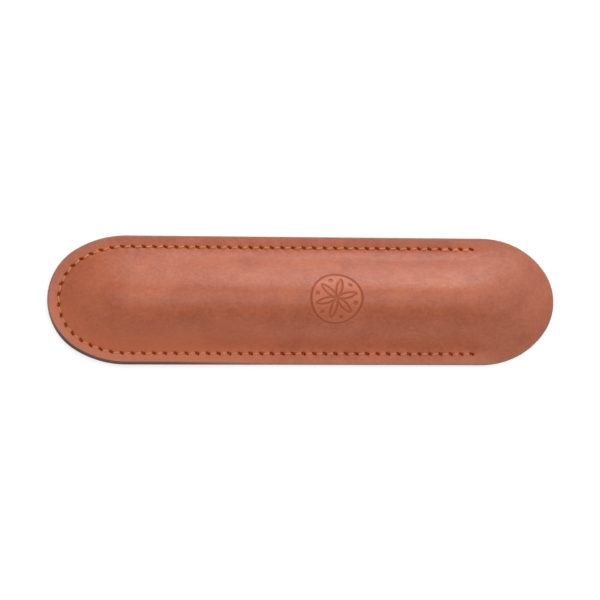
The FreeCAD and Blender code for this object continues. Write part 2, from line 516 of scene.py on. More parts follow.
@dataclass(frozen=True)
class Rosette:
    """Traditional six-petal compass rosette in a plain ring, pressed into the front, in millimetres.

    The first petal's turn is a share of the angle between petals, and the dots' place a share of the petals'
    reach.
    """

    x: float = 9.3
    y: float = 0.0
    ring_radius: float = 8.2
    petal_radius: float = 6.8
    stroke: float = 0.34
    softness: float = 0.2
    depth: float = 0.34
    wrap: float = 0.946
    dot_radius: float = 0.55
    dot_place: float = 0.93
    petals: int = 6
    first_turn: float = 0.25
    # Share of painted highlight inside the ring
    field_highlight_share: float = 0.75

    def lines(self, x: np.ndarray, y: np.ndarray) -> np.ndarray:
        """How deep into the stamp's lines each point lies.

        Args:
            x: Places along the case.
            y: Places across the case.

        Returns:
            From 0 outside the lines to 1 on a line.
        """
        dx = x - self.x
        dy = (y - self.y) / self.wrap
        radius = np.hypot(dx, dy)
        gap = np.abs(radius - self.ring_radius)
        for k in range(self.petals):
            turn = 2.0 * math.pi * (k + self.first_turn) / self.petals
            cx = self.petal_radius * math.cos(turn)
            cy = self.petal_radius * math.sin(turn)
            arc = np.abs(np.hypot(dx - cx, dy - cy) - self.petal_radius)
            gap = np.minimum(gap, np.where(radius <= self.petal_radius, arc, np.inf))
            half = turn + math.pi / self.petals
            dot_x = self.petal_radius * self.dot_place * math.cos(half)
            dot_y = self.petal_radius * self.dot_place * math.sin(half)
            dot = np.hypot(dx - dot_x, dy - dot_y) - self.dot_radius + self.stroke / 2.0
            gap = np.minimum(gap, np.maximum(dot, 0.0))
        return 1.0 - smooth_step((gap - self.stroke / 2.0) / self.softness)

    def field(self, x: np.ndarray, y: np.ndarray) -> np.ndarray:
        """How much painted highlight lies inside the stamp's ring, from 0 outside."""
        radius = np.hypot(x - self.x, (y - self.y) / self.wrap)
        return self.field_highlight_share * smooth_step((self.ring_radius - radius) / (2.0 * self.softness))

    def points(self, step: float, margin: float) -> np.ndarray:
        """Even points over the stamp, on a triangular grid.

        Args:
            step: Distance between points.
            margin: How far past the ring the points go.

        Returns:
            The points, row by row.
        """
        reach = self.ring_radius + margin
        grid = triangle_grid(reach, reach, step)
        grid = grid[np.hypot(grid[:, 0], grid[:, 1]) < reach]
        return grid + np.array([self.x, self.y])


@dataclass(frozen=True)
class Noise:
    """Noise in a finish: features to the millimetre, layers of detail, and how strong the fine layers are."""

    scale: float
    detail: float
    roughness: float


@dataclass(frozen=True)
class Relief:
    """Relief in a finish: its strength, and its depth in millimetres."""

    strength: float
    depth: float


class ShaderTree:
    """Small helper that builds one procedural material."""

    MIX_FIRST = 6
    MIX_SECOND = 7
    MIX_RESULT = 2

    def __init__(self, name: str) -> None:
        """Start a material with a Principled shader and coordinates in millimetres.

        Args:
            name: Name of the material.
        """
        self.material = bpy.data.materials.new(name)
        self.material.use_nodes = True
        self.tree = self.material.node_tree
        self.shader = self.tree.nodes["Principled BSDF"]
        coordinates = self.tree.nodes.new("ShaderNodeTexCoord")
        mapping = self.tree.nodes.new("ShaderNodeMapping")
        mapping.inputs["Scale"].default_value = (1.0 / MM, 1.0 / MM, 1.0 / MM)
        self.link(coordinates.outputs["Object"], mapping.inputs["Vector"])
        self.place = mapping.outputs["Vector"]

    def link(self, source: Socket, target: Socket) -> None:
        """Join an output to an input."""
        self.tree.links.new(source, target)

    def set(self, **values: float) -> None:
        """Set constant numbers on the shader's own sockets, with underscores for blanks."""
        for name, value in values.items():
            self.shader.inputs[name.replace("_", " ")].default_value = value

    def noise(self, pattern: Noise) -> Socket:
        """Noise over the piece.

        Args:
            pattern: Sizes of the noise.

        Returns:
            Numbers about 0.5.
        """
        node = self.tree.nodes.new("ShaderNodeTexNoise")
        node.inputs["Scale"].default_value = pattern.scale
        node.inputs["Detail"].default_value = pattern.detail
        node.inputs["Roughness"].default_value = pattern.roughness
        self.link(self.place, node.inputs["Vector"])
        return node.outputs["Fac"]

    def cells(self, scale: float, feature: str) -> Socket:
        """Cell pattern over the piece.

        Args:
            scale: Cells to the millimetre.
            feature: Which distance in a cell is given.

        Returns:
            Distances in cell sizes.
        """
        node = self.tree.nodes.new("ShaderNodeTexVoronoi")
        node.feature = feature
        node.inputs["Scale"].default_value = scale
        self.link(self.place, node.inputs["Vector"])
        return node.outputs["Distance"]

    def attribute(self, name: str) -> Socket:
        """Number painted on the mesh.

        Args:
            name: Name of the paint layer.

        Returns:
            The painted numbers.
        """
        node = self.tree.nodes.new("ShaderNodeAttribute")
        node.attribute_name = name
        return node.outputs["Fac"]

    def ramp(self, source: Socket, low: float, high: float, out_low: float, out_high: float) -> Socket:
        """Stretch a range of numbers onto another and hold what lies outside.

        Args:
            source: Numbers to stretch.
            low: Start of the range that comes in.
            high: End of the range that comes in.
            out_low: What the start becomes.
            out_high: What the end becomes.

        Returns:
            The stretched numbers.
        """
        node = self.tree.nodes.new("ShaderNodeMapRange")
        for name, value in (("From Min", low), ("From Max", high), ("To Min", out_low), ("To Max", out_high)):
            node.inputs[name].default_value = value
        self.link(source, node.inputs["Value"])
        return node.outputs["Result"]

    def spread(self, source: Socket, span: Span) -> Socket:
        """Spread a noise over a range of numbers."""
        return self.ramp(source, *NOISE_SPAN, *span)

    def math(self, operation: str, first: Socket, second: Socket | float) -> Socket:
        """One sum on two numbers.

        Args:
            operation: Name of the sum.
            first: Numbers that come first.
            second: One number, or numbers that come second.

        Returns:
            The results.
        """
        node = self.tree.nodes.new("ShaderNodeMath")
        node.operation = operation
        self.link(first, node.inputs[0])
        if isinstance(second, float):
            node.inputs[1].default_value = second
        else:
            self.link(second, node.inputs[1])
        return node.outputs["Value"]

    def mix(self, factor: Socket, first: object, second: object, blend: str = "MIX") -> Socket:
        """Mix two colours.

        Args:
            factor: How much of the second colour shows.
            first: Colour, or socket that gives one.
            second: Colour, or socket that gives one.
            blend: Way of mixing.

        Returns:
            The mixed colour.
        """
        node = self.tree.nodes.new("ShaderNodeMix")
        node.data_type = "RGBA"
        node.blend_type = blend
        self.link(factor, node.inputs["Factor"])
        for index, value in ((self.MIX_FIRST, first), (self.MIX_SECOND, second)):
            if isinstance(value, Socket):
                self.link(value, node.inputs[index])
            else:
                node.inputs[index].default_value = value
        return node.outputs[self.MIX_RESULT]

    def two_tone(self, pattern: Socket, dark: Colour, light: Colour) -> Socket:
        """Colour that goes from a dark to a light tone with a noise."""
        return self.mix(self.spread(pattern, (0.0, 1.0)), linear_colour(*dark), linear_colour(*light))

    def bump(self, height: Socket, relief: Relief, below: Socket | None = None) -> Socket:
        """Relief in the surface, laid over another relief if one is given.

        Args:
            height: Heights of the relief, from 0 to 1.
            relief: Its strength and depth.
            below: Relief that this one lies on.

        Returns:
            Directions of the surface.
        """
        node = self.tree.nodes.new("ShaderNodeBump")
        node.inputs["Strength"].default_value = relief.strength
        node.inputs["Distance"].default_value = relief.depth * MM
        self.link(height, node.inputs["Height"])
        if below is not None:
            self.link(below, node.inputs["Normal"])
        return node.outputs["Normal"]

    def finish(self, colour: Socket, roughness: Socket, normal: Socket) -> bpy.types.Material:
        """Join colour, roughness and relief to the shader.

        Args:
            colour: Colours of the surface.
            roughness: How dull it is.
            normal: Directions of the surface.

        Returns:
            The finished material.
        """
        self.link(colour, self.shader.inputs["Base Color"])
        self.link(roughness, self.shader.inputs["Roughness"])
        self.link(normal, self.shader.inputs["Normal"])
        return self.material


@dataclass(frozen=True)
class GrainFinish:
    """Smooth outer side of the leather: satin brown with fine grain and soft mottling, and painted light and
    shade in places.

    The shares say how much of a tone shows at most. Pores and wrinkles are cells to the millimetre.
    """

    name: str = "brown_leather_grain"
    dark: Colour = (168, 77, 41)
    light: Colour = (204, 107, 65)
    # Inside the awl holes: the cut leather's darker colour, deepened with painted shade
    hole: Colour = (156, 58, 12)
    pressed: Colour = (138, 58, 30)
    # Paler colour of painted light, on the near rim by the closed end and inside the stamp's ring
    painted_light: Colour = (210, 110, 66)
    cloud: Noise = Noise(0.11, 3.0, 0.55)
    cloud_span: Span = (0.35, 0.65)
    cloud_share: float = 0.4
    fleck: Noise = Noise(0.85, 5.0, 0.7)
    fleck_share: float = 0.6
    painted_light_share: float = 0.6
    pores: float = 1.7
    pore_size: float = 0.22
    pore_share: float = 0.18
    press_share: float = 0.42
    patch: Noise = Noise(0.5, 3.0, 0.6)
    roughness: Span = (0.44, 0.55)
    wrinkles: float = 1.35
    wrinkle_relief: Relief = Relief(0.4, 0.12)
    grain: Noise = Noise(2.4, 4.0, 0.65)
    grain_relief: Relief = Relief(0.3, 0.08)
    gloss: float = 0.82
    hole_gloss: float = 0.3
    press_dulls: float = 0.5
    # Painted shade at the mouth darkens its colour by this factor; its roughness and gloss rise too
    mouth_shade_and_gloss: float = 0.92
    mouth_roughness: float = 0.16
    mouth_gloss: float = 1.4

    def material(self) -> bpy.types.Material:
        """Build the material.

        Returns:
            The grain side's material, which follows the paint layers for painted light, for painted shade and
            gloss at the mouth, press and awl.
        """
        tree = ShaderTree(self.name)
        mouth_mask = tree.attribute("mouth_shade_and_gloss")
        press = tree.attribute("press")
        awl = tree.attribute("awl")
        pressed = linear_colour(*self.pressed)
        cloud = tree.ramp(tree.noise(self.cloud), *self.cloud_span, 0.0, self.cloud_share)
        mottle = tree.math("ADD", cloud, tree.spread(tree.noise(self.fleck), (0.0, self.fleck_share)))
        colour = tree.mix(mottle, linear_colour(*self.dark), linear_colour(*self.light))
        # Painted light: a paler near rim by the closed end, and painted highlight inside the stamp's ring
        marks_and_painted_light = tree.math("MULTIPLY", tree.attribute("marks_and_painted_light"), self.painted_light_share)
        colour = tree.mix(marks_and_painted_light, colour, linear_colour(*self.painted_light))
        # Painted shade darkens the mouth
        colour = tree.mix(mouth_mask, colour, (self.mouth_shade_and_gloss, self.mouth_shade_and_gloss, self.mouth_shade_and_gloss, 1.0), "MULTIPLY")
        pores = tree.ramp(tree.cells(self.pores, "F1"), 0.0, self.pore_size, 1.0, 0.0)
        colour = tree.mix(tree.math("MULTIPLY", pores, self.pore_share), colour, pressed)
        colour = tree.mix(tree.math("MULTIPLY", press, self.press_share), colour, pressed)
        # Awl holes turn darker, partly with painted shade
        colour = tree.mix(awl, colour, linear_colour(*self.hole))
        rough = tree.spread(tree.noise(self.patch), self.roughness)
        rough = tree.math("ADD", rough, tree.math("MULTIPLY", mouth_mask, self.mouth_roughness))
        wrinkle = tree.bump(tree.cells(self.wrinkles, "SMOOTH_F1"), self.wrinkle_relief)
        grain = tree.bump(tree.noise(self.grain), self.grain_relief, wrinkle)
        marked = tree.math("MAXIMUM", awl, tree.math("MULTIPLY", press, self.press_dulls))
        gloss = tree.ramp(marked, 0.0, 1.0, self.gloss, self.gloss * self.hole_gloss)
        gloss = tree.math("MULTIPLY", gloss, tree.ramp(mouth_mask, 0.0, 1.0, 1.0, self.mouth_gloss))
        tree.link(gloss, tree.shader.inputs["Specular IOR Level"])
        return tree.finish(colour, rough, grain)


@dataclass(frozen=True)
class FleshFinish:
    """Rough inner side of the leather: paler, dull and fibrous."""

    name: str = "leather_flesh_side"
    base: Colour = (168, 118, 86)
    dark: Colour = (134, 88, 60)
    nap: Noise = Noise(2.2, 5.0, 0.7)
    roughness: Span = (0.82, 0.95)
    relief: Relief = Relief(0.5, 0.15)
    sheen: float = 0.25
    sheen_roughness: float = 0.5

    def material(self) -> bpy.types.Material:
        """Build the material.

        Returns:
            The flesh side's material.
        """
        tree = ShaderTree(self.name)
        nap = tree.noise(self.nap)
        colour = tree.two_tone(nap, self.dark, self.base)
        tree.set(Sheen_Weight=self.sheen, Sheen_Roughness=self.sheen_roughness)
        return tree.finish(colour, tree.spread(nap, self.roughness), tree.bump(nap, self.relief))


@dataclass(frozen=True)
class EdgeFinish:
    """Brown burnished coat on the cut edges, with painted shade on the near side by the closed end."""

    name: str = "dark_edge_coat"
    base: Colour = (172, 122, 99)
    dark: Colour = (152, 106, 86)
    # Dark colour of painted shade on the near side by the closed end
    shaded_near_side: Colour = (98, 64, 53)
    streak: Noise = Noise(0.8, 4.0, 0.6)
    roughness: Span = (0.42, 0.58)
    brush: Noise = Noise(3.0, 3.0, 0.6)
    relief: Relief = Relief(0.25, 0.06)

    def material(self) -> bpy.types.Material:
        """Build the material.

        Returns:
            The coat's material, which follows the paint layer of painted shade.
        """
        tree = ShaderTree(self.name)
        streak = tree.noise(self.streak)
        colour = tree.two_tone(streak, self.dark, self.base)
        # Painted shade darkens the coat on the near side by the closed end
        colour = tree.mix(tree.attribute("shaded_near_side"), colour, linear_colour(*self.shaded_near_side))
        relief = tree.bump(tree.noise(self.brush), self.relief)
        return tree.finish(colour, tree.spread(streak, self.roughness), relief)


@dataclass(frozen=True)
class ThreadFinish:
    """Waxed ochre thread, with painted shade between its plies."""

    name: str = "ochre_waxed_thread"
    base: Colour = (237, 160, 104)
    # Painted shade between the plies, and the darker fibres
    dark: Colour = (212, 134, 82)
    fibre: Noise = Noise(6.0, 3.0, 0.6)
    fibre_span: Span = (0.35, 0.75)
    fibre_share: float = 0.35
    roughness: Span = (0.5, 0.68)
    relief: Relief = Relief(0.4, 0.05)
    sheen: float = 0.1

    def material(self) -> bpy.types.Material:
        """Build the material.

        Returns:
            The thread's material, which follows the paint layer of painted shade between the plies.
        """
        tree = ShaderTree(self.name)
        fibre = tree.noise(self.fibre)
        dark = linear_colour(*self.dark)
        # Painted shade darkens the thread between its plies
        colour = tree.mix(tree.attribute("ply_shade"), dark, linear_colour(*self.base))
        colour = tree.mix(tree.ramp(fibre, *self.fibre_span, 0.0, self.fibre_share), colour, dark)
        tree.set(Sheen_Weight=self.sheen)
        return tree.finish(colour, tree.spread(fibre, self.roughness), tree.bump(fibre, self.relief))


@dataclass(frozen=True)
class CementFinish:
    """Dried contact cement between the two rims."""

    name: str = "dried_cement"
    base: Colour = (158, 128, 87)
    dark: Colour = (128, 98, 62)
    blot: Noise = Noise(1.2, 3.0, 0.5)
    roughness: Span = (0.35, 0.5)
    relief: Relief = Relief(0.3, 0.05)

    def material(self) -> bpy.types.Material:
        """Build the material.

        Returns:
            The cement's material.
        """
        tree = ShaderTree(self.name)
        blot = tree.noise(self.blot)
        colour = tree.two_tone(blot, self.dark, self.base)
        return tree.finish(colour, tree.spread(blot, self.roughness), tree.bump(blot, self.relief))


def new_object(name: str, mesh: bpy.types.Mesh) -> bpy.types.Object:
    """Put a mesh in the scene at the origin.

    Args:
        name: Name of the piece.
        mesh: Its mesh.

    Returns:
        The piece.
    """
    piece = bpy.data.objects.new(name, mesh)
    bpy.context.scene.collection.objects.link(piece)
    return piece


def triangulate(points: np.ndarray, edge_count: int) -> tuple[np.ndarray, np.ndarray, np.ndarray]:
    """Cover the inside of a closed outline with triangles through all the points.

    Args:
        points: Flat points; the first ones are the outline, in order.
        edge_count: How many points the outline has.

    Returns:
        Flat points, triangles that turn anticlockwise, and the new index of each outline point.
    """
    outline = [list(range(edge_count))]
    found = delaunay_2d_cdt([Vector(p) for p in points], [], outline, INSIDE_ONLY, MERGE_DISTANCE, True)
    flat = np.array([tuple(v) for v in found[0]])
    triangles = np.array(found[2])
    a, b, c = (flat[triangles[:, i]] for i in range(3))
    area = (b[:, 0] - a[:, 0]) * (c[:, 1] - a[:, 1]) - (b[:, 1] - a[:, 1]) * (c[:, 0] - a[:, 0])
    triangles[area < 0.0] = triangles[area < 0.0][:, ::-1]
    places = np.zeros(edge_count, int)
    for index, sources in enumerate(found[3]):
        for source in sources:
            if source < edge_count:
                places[source] = index
    return flat, triangles, places


@dataclass
class LeatherSheet:
    """One panel of leather as a closed shell: a detailed grain side, a plain flesh side and the cut edge."""

    FLESH_SLOT = 1

    name: str
    outline: Outline
    grain: Grain
    grain_height: HeightMap
    flesh_height: HeightMap
    grain_points: np.ndarray
    paint: dict[str, HeightMap]
    edge_inset: float = 0.22
    edge_step: float = 0.8
    flesh_step: float = 2.2

    def build(self, grain_finish: bpy.types.Material, flesh_finish: bpy.types.Material) -> bpy.types.Object:
        """Make the sheet.

        Args:
            grain_finish: Finish of the smooth side and the cut edge.
            flesh_finish: Finish of the rough side.

        Returns:
            The finished sheet.
        """
        edge = self.outline.loop(self.edge_inset, self.edge_step)
        count = len(edge)
        outer, outer_faces, outer_edge = triangulate(np.concatenate([edge, self.grain_points]), count)
        inside = self.outline.grid(self.flesh_step, self.edge_inset + self.flesh_step / 2)
        inner, inner_faces, inner_edge = triangulate(np.concatenate([edge, inside]), count)
        outer_z = self.grain_height(outer[:, 0], outer[:, 1])
        inner_z = self.flesh_height(inner[:, 0], inner[:, 1])
        vertices = np.concatenate([np.column_stack([outer, outer_z]), np.column_stack([inner, inner_z])]) * MM
        inner_faces = inner_faces + len(outer)
        inner_edge = inner_edge + len(outer)
        following = np.roll(np.arange(count), -1)
        wall = np.column_stack([outer_edge[following], outer_edge, inner_edge, inner_edge[following]])
        if self.grain is Grain.UP:
            inner_faces = inner_faces[:, ::-1]
        else:
            outer_faces = outer_faces[:, ::-1]
            wall = wall[:, ::-1]
        faces = outer_faces.tolist() + wall.tolist() + inner_faces.tolist()
        mesh = bpy.data.meshes.new(self.name)
        mesh.from_pydata(vertices.tolist(), [], faces)
        for attribute, value in self.paint.items():
            layer = mesh.attributes.new(attribute, "FLOAT", "POINT")
            amounts = np.zeros(len(vertices), np.float32)
            amounts[:len(outer)] = value(outer[:, 0], outer[:, 1])
            layer.data.foreach_set("value", amounts)
        mesh.materials.append(grain_finish)
        mesh.materials.append(flesh_finish)
        slots = np.zeros(len(faces), np.int32)
        slots[len(outer_faces) + len(wall):] = self.FLESH_SLOT
        mesh.polygons.foreach_set("material_index", slots)
        mesh.shade_smooth()
        mesh.update()
        return new_object(self.name, mesh)


@dataclass
class EdgeBand:
    """Coat that wraps a cut edge: a closed section carried along a stretch of the outline, in millimetres."""

    name: str
    path: Callable[[float, float], np.ndarray]
    section: Sequence[tuple[float, HeightMap]]
    wide: EdgeMap
    dark: EdgeMap
    wide_from: float = 0.43
    step: float = 0.8

    def build(self, finish: bpy.types.Material) -> bpy.types.Object:
        """Make the band.

        Args:
            finish: Finish of the coat.

        Returns:
            The finished band.
        """
        rings = []
        rim = self.path(0.0, self.step)
        out = rim - self.path(1.0, self.step)
        out /= np.hypot(*out.T)[:, None]
        wide = self.wide(rim, out)
        for inset, height in self.section:
            points = self.path(inset, self.step)
            if inset >= self.wide_from:
                points = points - out * wide[:, None]
            rings.append(np.column_stack([points, height(points[:, 0], points[:, 1])]))
        count = len(rings[0])
        sides = len(rings)
        vertices = np.concatenate(rings) * MM
        faces = []
        for j in range(sides):
            k = (j + 1) % sides
            for i in range(count - 1):
                faces.append((j * count + i, j * count + i + 1, k * count + i + 1, k * count + i))
        faces.append(tuple(j * count for j in range(sides)))
        faces.append(tuple(j * count + count - 1 for j in reversed(range(sides))))
        mesh = bpy.data.meshes.new(self.name)
        mesh.from_pydata(vertices.tolist(), [], faces)
        # The coat's painted shade on the near side, stored on every ring's points
        layer = mesh.attributes.new("shaded_near_side", "FLOAT", "POINT")
        layer.data.foreach_set("value", np.tile(self.dark(rim, out), sides).astype(np.float32))
        mesh.materials.append(finish)
        mesh.shade_smooth()
        mesh.update()
        return new_object(self.name, mesh)


class StitchTree:
    """Geometry nodes that lay one twisted stitch at every point of a line."""

    RING_SIDES = 12
    RINGS = 9
    PLIES = 3
    PLY_SWELL = 0.14
    DIVE_POWER = 4.0
    WOBBLE = 0.06
    SMALLEST = 0.95
    LARGEST = 1.05
    RANDOM_LOW = 2
    RANDOM_HIGH = 3
    RANDOM_NUMBER = 1
    NUMBERS = ("Thread Diameter", "Stitch Length", "Crown", "Dive", "Slant", "Twist", "Outward")

    def __init__(self) -> None:
        """Build the tree with its named inputs."""
        self.tree = bpy.data.node_groups.new("twisted_stitches", "GeometryNodeTree")
        self.inputs: dict[str, str] = {}
        face = self.tree.interface
        face.new_socket("Geometry", in_out="INPUT", socket_type="NodeSocketGeometry")
        kinds = {name: "NodeSocketFloat" for name in self.NUMBERS}
        kinds["Seed"] = "NodeSocketInt"
        kinds["Finish"] = "NodeSocketMaterial"
        for name, kind in kinds.items():
            self.inputs[name] = face.new_socket(name, in_out="INPUT", socket_type=kind).identifier
        face.new_socket("Geometry", in_out="OUTPUT", socket_type="NodeSocketGeometry")
        self.entry = self.tree.nodes.new("NodeGroupInput")
        self._wire()

    def _node(self, kind: str, links: dict[int | str, object] | None = None,
              **settings: object) -> bpy.types.Node:
        """Add a node, set its choices, and join or set its inputs.

        Args:
            kind: Kind of node.
            links: Sockets or constants for its inputs.
            **settings: Its choices.

        Returns:
            The node.
        """
        node = self.tree.nodes.new(kind)
        for name, value in settings.items():
            setattr(node, name, value)
        for key, value in (links or {}).items():
            if isinstance(value, Socket):
                self.tree.links.new(value, node.inputs[key])
            else:
                node.inputs[key].default_value = value
        return node

    def _first(self, kind: str, links: dict[int | str, object] | None = None, **settings: object) -> Socket:
        """Add a node and give its first output."""
        return self._node(kind, links, **settings).outputs[0]

    def _math(self, operation: str, first: object, second: object = 0.0) -> Socket:
        """One sum on two numbers."""
        return self._first("ShaderNodeMath", {0: first, 1: second}, operation=operation)

    def _random(self, low: float, high: float, seed: Socket) -> Socket:
        """A number drawn for each stitch."""
        links = {self.RANDOM_LOW: low, self.RANDOM_HIGH: high, "Seed": seed}
        return self._node("FunctionNodeRandomValue", links, data_type="FLOAT").outputs[self.RANDOM_NUMBER]

    def _ring(self) -> Socket:
        """Round section of the thread, swollen at each of its plies.

        Returns:
            The closed curve of the section, with painted shade between the plies stored on it.
        """
        radius = self._math("MULTIPLY", self.entry.outputs["Thread Diameter"], 0.5)
        circle = {"Resolution": self.RING_SIDES, "Radius": radius}
        ring = self._first("GeometryNodeCurvePrimitiveCircle", circle)
        index = self._first("GeometryNodeInputIndex")
        turn = self._math("MULTIPLY", index, 2.0 * math.pi * self.PLIES / self.RING_SIDES)
        lobe = self._math("COSINE", turn)
        swell = self._math("ADD", 1.0, self._math("MULTIPLY", lobe, self.PLY_SWELL))
        place = self._first("GeometryNodeInputPosition")
        grown = self._first("ShaderNodeVectorMath", {0: place, "Scale": swell}, operation="SCALE")
        ring = self._first("GeometryNodeSetPosition", {"Geometry": ring, "Position": grown})
        # Painted shade: darkest between the plies
        ply_shade = self._math("ADD", 0.5, self._math("MULTIPLY", lobe, 0.5))
        stored = {"Geometry": ring, "Name": "ply_shade", "Value": ply_shade}
        return self._first("GeometryNodeStoreNamedAttribute", stored, data_type="FLOAT", domain="POINT")

    def _strand(self) -> Socket:
        """One stitch along X: it rises to a crown, dives at both ends, and its plies wind round it.

        Returns:
            The mesh of the stitch.
        """
        entry = self.entry.outputs
        half = self._math("MULTIPLY", entry["Stitch Length"], 0.5)
        start = self._first("ShaderNodeCombineXYZ", {"X": self._math("MULTIPLY", half, -1.0)})
        end = self._first("ShaderNodeCombineXYZ", {"X": half})
        line = self._first("GeometryNodeCurvePrimitiveLine", {"Start": start, "End": end})
        line = self._first("GeometryNodeResampleCurve", {"Curve": line, "Count": self.RINGS})
        factor = self._node("GeometryNodeSplineParameter").outputs["Factor"]
        from_middle = self._math("ABSOLUTE", self._math("SUBTRACT", self._math("MULTIPLY", factor, 2.0), 1.0))
        fall = self._math("POWER", from_middle, self.DIVE_POWER)
        sink = self._math("MULTIPLY", fall, self._math("ADD", entry["Crown"], entry["Dive"]))
        height = self._math("MULTIPLY", self._math("SUBTRACT", entry["Crown"], sink), entry["Outward"])
        lift = self._first("ShaderNodeCombineXYZ", {"Z": height})
        line = self._first("GeometryNodeSetPosition", {"Geometry": line, "Offset": lift})
        wind = self._math("MULTIPLY", factor, entry["Twist"])
        line = self._first("GeometryNodeSetCurveTilt", {"Curve": line, "Tilt": wind})
        swept = {"Curve": line, "Profile Curve": self._ring(), "Fill Caps": True}
        return self._first("GeometryNodeCurveToMesh", swept)

    def _wire(self) -> None:
        """Lay the strand along the line, turned to its direction, and make it plain mesh."""
        entry = self.entry.outputs
        curve = self._first("GeometryNodeMeshToCurve", {"Mesh": entry["Geometry"]})
        tangent = {"Vector": self._first("GeometryNodeInputTangent")}
        facing = self._first("FunctionNodeAlignRotationToVector", tangent, axis="X", pivot_axis="Z")
        wobble = self._random(-self.WOBBLE, self.WOBBLE, entry["Seed"])
        turn = self._first("ShaderNodeCombineXYZ", {"Z": self._math("ADD", entry["Slant"], wobble)})
        slanted = {"Rotation": facing, "Rotate By": self._first("FunctionNodeEulerToRotation", {0: turn})}
        turned = self._first("FunctionNodeRotateRotation", slanted, rotation_space="LOCAL")
        size = self._random(self.SMALLEST, self.LARGEST, self._math("ADD", entry["Seed"], 1.0))
        laid = {"Points": curve, "Instance": self._strand(), "Rotation": turned, "Scale": size}
        solid = self._first("GeometryNodeInstanceOnPoints", laid)
        solid = self._first("GeometryNodeRealizeInstances", {"Geometry": solid})
        solid = self._first("GeometryNodeSetShadeSmooth", {"Geometry": solid})
        dressed = self._first("GeometryNodeSetMaterial", {"Geometry": solid, "Material": entry["Finish"]})
        self._node("NodeGroupOutput", {0: dressed})

    def lay(self, name: str, lines: Sequence[np.ndarray], **values: object) -> bpy.types.Object:
        """Sew along some lines.

        Args:
            name: Name of the finished thread.
            lines: Middles of the stitches, in metres, one array for each run of thread.
            **values: The tree's inputs, with underscores for blanks.

        Returns:
            The thread as a plain mesh at the origin.
        """
        base = bpy.data.meshes.new(name + "_line")
        edges = []
        first = 0
        for line in lines:
            edges += [(first + i, first + i + 1) for i in range(len(line) - 1)]
            first += len(line)
        base.from_pydata(np.concatenate(lines).tolist(), edges, [])
        piece = new_object(name, base)
        modifier = piece.modifiers.new("stitches", "NODES")
        modifier.node_group = self.tree
        for key, value in values.items():
            modifier[self.inputs[key.replace("_", " ")]] = value
        bpy.context.view_layer.update()
        sewn = bpy.data.meshes.new_from_object(piece.evaluated_get(bpy.context.evaluated_depsgraph_get()))
        sewn.name = name
        piece.modifiers.remove(modifier)
        piece.data = sewn
        return piece


@dataclass(frozen=True)
class HandWork:
    """Slight unevenness of hand-moulded leather: two crossed waves and a slanted one, in millimetres."""

    height: float = 0.05
    along: float = 0.21
    along_start: float = 1.3
    across: float = 0.33
    across_start: float = 0.4
    slant_share: float = 0.6
    slant_along: float = 0.37
    slant_across: float = 0.18
    slant_start: float = 2.1
    full_height: float = 3.0

    def lift(self, x: np.ndarray, y: np.ndarray, moulded: np.ndarray) -> np.ndarray:
        """How far the leather stands off its even shape.

        Args:
            x: Places along the case.
            y: Places across the case.
            moulded: Heights of the ridge there; the flat rim stays even.

        Returns:
            Distances up or down.
        """
        crossed = np.sin(x * self.along + self.along_start) * np.sin(y * self.across + self.across_start)
        slanted = np.sin(x * self.slant_along - y * self.slant_across + self.slant_start)
        return self.height * (crossed + self.slant_share * slanted) * smooth_step(moulded / self.full_height)


@dataclass(frozen=True)
class MarksAndPaintedLight:
    """Where making has darkened the rim by the seam, and where painted light pales the leather and painted
    shade darkens its mouth, in millimetres.
    """

    burnish: float = 0.08
    clamp_lead: float = 0.6
    clamp_fade: float = 2.2
    rim: float = 3.0
    rim_fade: float = 12.0
    closed_x: float = 5.0
    closed_fade: float = 35.0
    near_y: float = 4.0
    near_fade: float = 10.0
    # Where the painted shade at the mouth begins, and how far it takes to reach full strength
    mouth_shade_x: float = 50.0
    mouth_shade_fade: float = 18.0

    def clamped(self, inside: np.ndarray, seam_inset: float) -> np.ndarray:
        """Rim that was clamped while the leather dried, by how far inside the outline a place lies."""
        return self.burnish * (1.0 - smooth_step((inside - seam_inset + self.clamp_lead) / self.clamp_fade))

    def painted_light(self, x: np.ndarray, y: np.ndarray, inside: np.ndarray) -> np.ndarray:
        """Near side by the closed end, where painted light makes the rim paler.

        Args:
            x: Places along the case.
            y: Places across the case.
            inside: How far inside the outline they lie.

        Returns:
            From 0 to 1 where the painted light is strongest.
        """
        from_rim = 1.0 - smooth_step((inside - self.rim) / self.rim_fade)
        by_closed = smooth_step((self.closed_x - x) / self.closed_fade)
        return from_rim * by_closed * smooth_step((self.near_y - y) / self.near_fade)

    def mouth_shade_and_gloss(self, x: np.ndarray, y: np.ndarray) -> np.ndarray:
        """Mouth, darkened with painted shade and given a rougher, stronger gloss, alike at every place
        across.
        """
        return smooth_step((x - self.mouth_shade_x) / self.mouth_shade_fade)


@dataclass(frozen=True)
class FaceRows:
    """Where the points of a detailed face lie, in millimetres."""

    edge_insets: tuple[float, ...] = (0.34, 0.48, 0.7, 1.1, 1.55)
    edge_step: float = 0.8
    mouth_insets: tuple[float, ...] = (2.1, 2.9, 3.8, 4.8)
    seam_offsets: tuple[float, ...] = (-1.3, -0.9, -0.55, 0.0, 0.55, 0.9, 1.3, 1.8)
    seam_step: float = 0.6
    seam_clear: float = 0.5
    seam_band: float = 2.0
    open_step: float = 1.1
    stamp_step: float = 0.2
    stamp_margin: float = 0.8
    stamp_clear: float = 0.4


